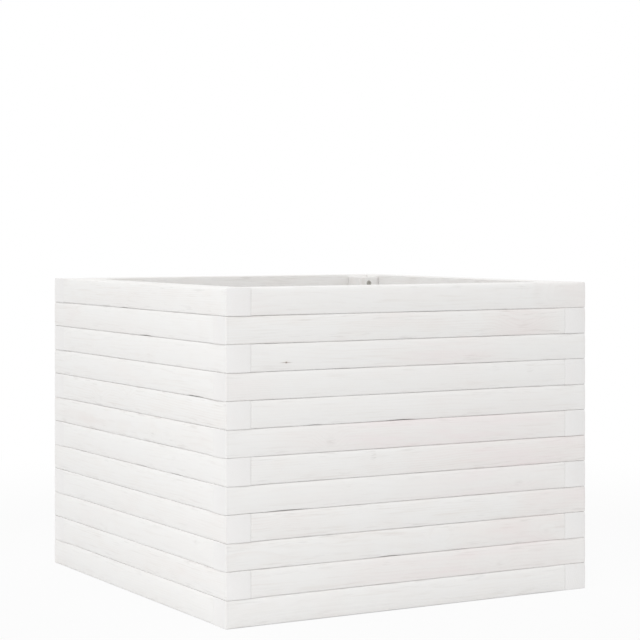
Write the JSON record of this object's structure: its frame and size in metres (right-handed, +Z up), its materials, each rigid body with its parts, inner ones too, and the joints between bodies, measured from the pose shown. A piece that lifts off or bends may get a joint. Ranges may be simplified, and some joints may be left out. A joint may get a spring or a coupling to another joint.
{
  "type": "wooden planter",
  "caption": "Square open-topped floor planter of stacked white-painted timber slats with alternating corner joints, inside corner posts and a slatted draining floor.",
  "frame": {"origin": "on the ground in the middle of the plan", "axes": "+Z up; the front wall faces -Y and +X is to the right of a viewer who faces it"},
  "size_m": [0.6, 0.6, 0.4548],
  "materials": {
    "white_slat": "thin matt white paint on planed pine, grain and knots showing faintly",
    "white_frame": "thin matt white paint on sawn pine",
    "white_floor": "thin matt white paint on pine boards, grain showing",
    "zinc_screw": "bright zinc plate, slightly dulled"
  },
  "bodies": {
    "root": {"front_slat_01": "white_slat", "front_slat_02": "white_slat", "front_slat_03": "white_slat", "front_slat_04": "white_slat", "front_slat_05": "white_slat", "front_slat_06": "white_slat", "front_slat_07": "white_slat", "front_slat_08": "white_slat", "front_slat_09": "white_slat", "front_slat_10": "white_slat", "front_slat_11": "white_slat", "front_slat_12": "white_slat", "right_slat_01": "white_slat", "right_slat_02": "white_slat", "right_slat_03": "white_slat", "right_slat_04": "white_slat", "right_slat_05": "white_slat", "right_slat_06": "white_slat", "right_slat_07": "white_slat", "right_slat_08": "white_slat", "right_slat_09": "white_slat", "right_slat_10": "white_slat", "right_slat_11": "white_slat", "right_slat_12": "white_slat", "back_slat_01": "white_slat", "back_slat_02": "white_slat", "back_slat_03": "white_slat", "back_slat_04": "white_slat", "back_slat_05": "white_slat", "back_slat_06": "white_slat", "back_slat_07": "white_slat", "back_slat_08": "white_slat", "back_slat_09": "white_slat", "back_slat_10": "white_slat", "back_slat_11": "white_slat", "back_slat_12": "white_slat", "left_slat_01": "white_slat", "left_slat_02": "white_slat", "left_slat_03": "white_slat", "left_slat_04": "white_slat", "left_slat_05": "white_slat", "left_slat_06": "white_slat", "left_slat_07": "white_slat", "left_slat_08": "white_slat", "left_slat_09": "white_slat", "left_slat_10": "white_slat", "left_slat_11": "white_slat", "left_slat_12": "white_slat", "front_left_post": "white_frame", "front_right_post": "white_frame", "back_right_post": "white_frame", "back_left_post": "white_frame", "front_floor_bearer": "white_frame", "back_floor_bearer": "white_frame", "floor_board_1": "white_floor", "floor_board_2": "white_floor", "floor_board_3": "white_floor", "floor_board_4": "white_floor", "frame_screws": "zinc_screw", "floor_screws": "zinc_screw"}
  },
  "joints": []
}
